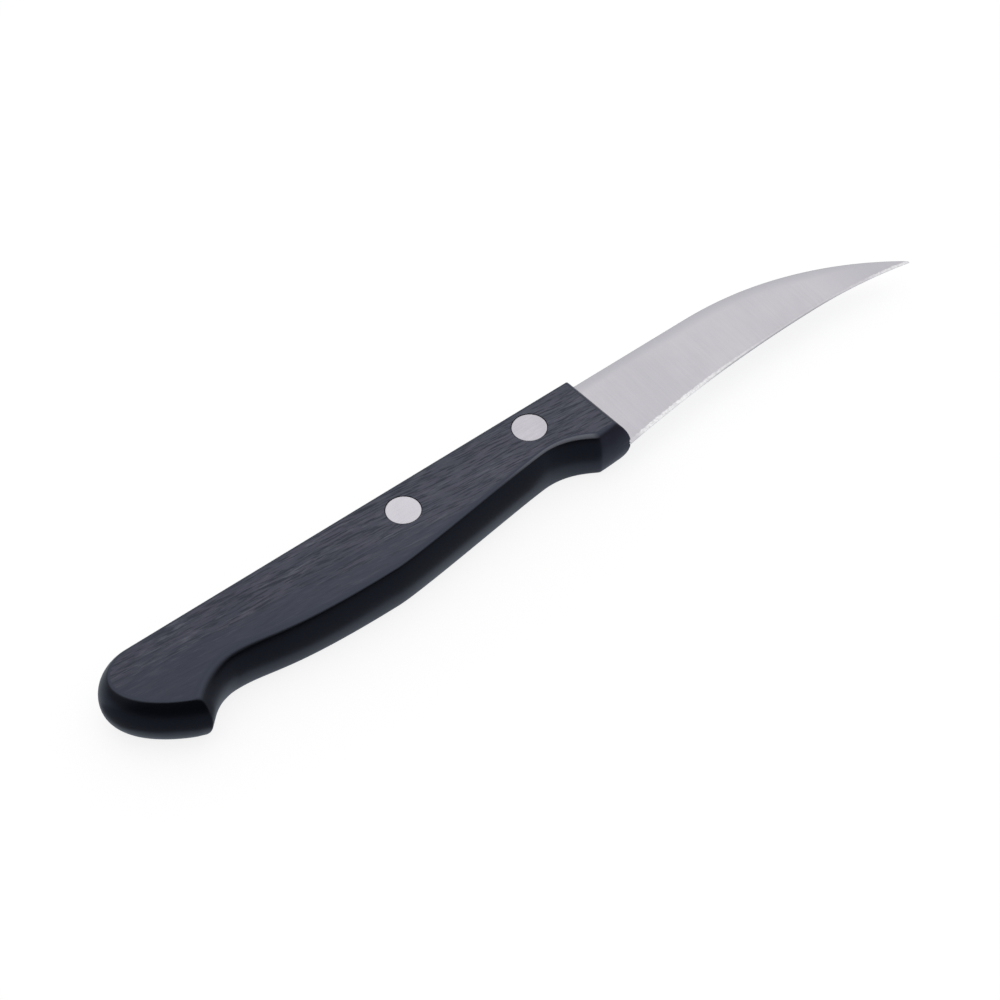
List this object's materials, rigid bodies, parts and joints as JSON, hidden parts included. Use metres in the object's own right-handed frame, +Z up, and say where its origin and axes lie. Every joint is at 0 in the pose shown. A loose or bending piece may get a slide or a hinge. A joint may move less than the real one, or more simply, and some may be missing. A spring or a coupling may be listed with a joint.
{
  "type": "tourne knife",
  "caption": "Tourne paring knife with a hooked, hollow-edged steel blade riveted into a black-dyed wooden handle, for turning and peeling vegetables.",
  "frame": {"origin": "middle of the underside of the knife's box, on the surface that the knife lies on", "axes": "+X along the knife to the blade's tip, +Y across it to the spine, +Z up, square to the handle's flat sides"},
  "size_m": [0.1642, 0.0192, 0.0094],
  "materials": {
    "blade_steel": "fine satin, ground, with a bright edge bevel",
    "rivet_steel": "satin, ground flush",
    "dyed_wood": "black-dyed laminated wood, satin, fine grain along the handle"
  },
  "bodies": {
    "root": {"blade": "blade_steel", "handle": "dyed_wood", "rivet_front_post": "rivet_steel", "rivet_front_socket": "rivet_steel", "rivet_rear_post": "rivet_steel", "rivet_rear_socket": "rivet_steel"}
  },
  "joints": []
}
